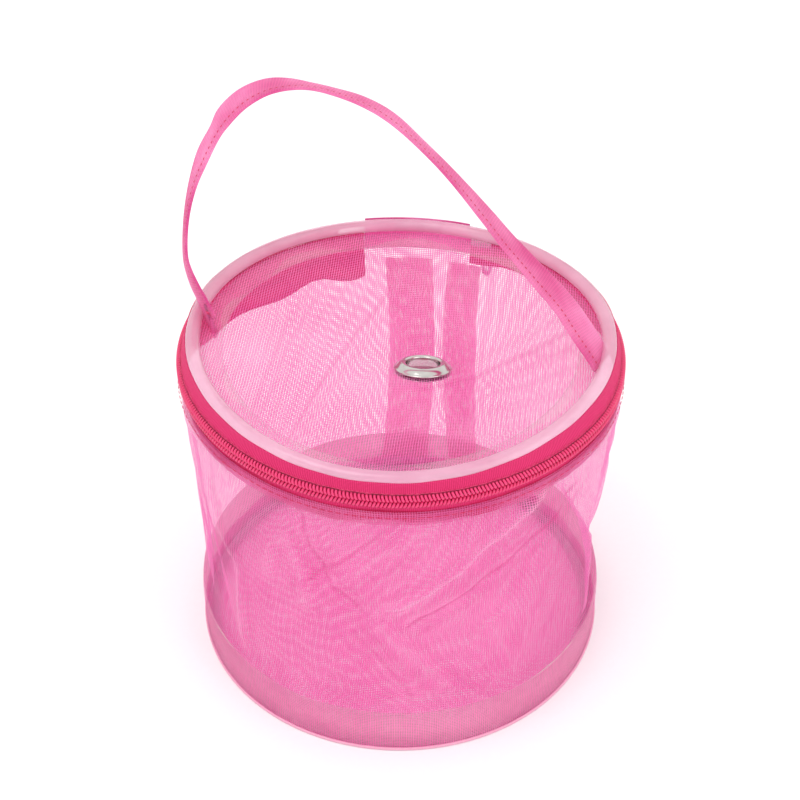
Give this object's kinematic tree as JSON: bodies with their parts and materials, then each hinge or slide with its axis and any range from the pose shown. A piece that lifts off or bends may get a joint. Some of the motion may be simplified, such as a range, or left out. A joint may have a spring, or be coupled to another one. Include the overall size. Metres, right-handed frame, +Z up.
{
  "type": "folding mesh storage bag",
  "caption": "Small round fold-flat storage bag of see-through mesh with a zip-around hinged lid, a clear hoop, a strap handle and a metal eyelet in the lid for drawing a thread out.",
  "frame": {"origin": "centre of the underside of the base panel, on the surface that the bag stands on", "axes": "+Z up through the lid, +Y towards the lid's cloth hinge, handle feet on the X axis"},
  "size_m": [0.1544, 0.1544, 0.2132],
  "materials": {
    "pink_mesh": "fine woven polyester mesh, see-through",
    "zip_tape": "woven polyester zip tape",
    "zip_coil": "nylon coil",
    "clear_vinyl_tube": "clear soft vinyl, glossy",
    "milky_vinyl": "milky vinyl sheet",
    "strap_cloth": "folded and stitched mesh cloth",
    "nickel": "nickel plated, bright"
  },
  "bodies": {
    "base": {"base_mesh_panel": "pink_mesh", "base_hoop": "clear_vinyl_tube", "base_hoop_plug": "clear_vinyl_tube", "base_seam_allowance": "pink_mesh", "base_band": "milky_vinyl", "wall_mesh": "pink_mesh", "wall_seam_wide": "pink_mesh", "wall_seam_narrow": "pink_mesh"},
    "rim": {"wall_hem": "pink_mesh", "body_zip_tape": "zip_tape", "body_zip_coil": "zip_coil", "zip_end_stop_right": "nickel", "zip_end_stop_left": "nickel", "hinge_tab": "pink_mesh"},
    "lid": {"lid_hoop": "clear_vinyl_tube", "lid_hoop_plug": "clear_vinyl_tube", "lid_flange": "milky_vinyl", "lid_zip_tape": "zip_tape", "lid_zip_coil": "zip_coil", "lid_mesh_panel": "pink_mesh", "eyelet_flange": "nickel", "eyelet_washer": "nickel", "handle_foot_left": "strap_cloth", "handle_foot_right": "strap_cloth"},
    "handle": {"handle_strap": "strap_cloth"},
    "slider": {"zip_slider": "nickel", "slider_bail": "nickel"},
    "pull": {"zip_pull": "nickel"}
  },
  "joints": [
    {"name": "collapse", "type": "slide", "parent": "base", "child": "rim", "axis": [0, 0, 1], "range_m": [-0.104, 0], "deforming": ["wall_mesh", "wall_seam_wide", "wall_seam_narrow", "base_band"]},
    {"name": "lid_hinge", "type": "hinge", "parent": "rim", "child": "lid", "pos_m": [0, 0.0762, 0.1241], "axis": [-1, 0, 0], "range_deg": [0, 180]},
    {"name": "handle_swing", "type": "hinge", "parent": "lid", "child": "handle", "pos_m": [0, 0, 0.138], "axis": [1, 0, 0], "range_deg": [-35, 85]},
    {"name": "zip_travel", "type": "hinge", "parent": "rim", "child": "slider", "pos_m": [0, 0, 0.1241], "axis": [0, 0, 1], "range_deg": [-321, 0]},
    {"name": "pull_swing", "type": "hinge", "parent": "slider", "child": "pull", "pos_m": [0.02664, 0.07522, 0.1241], "axis": [0.9426, -0.3338, 0], "range_deg": [0, 165]}
  ]
}
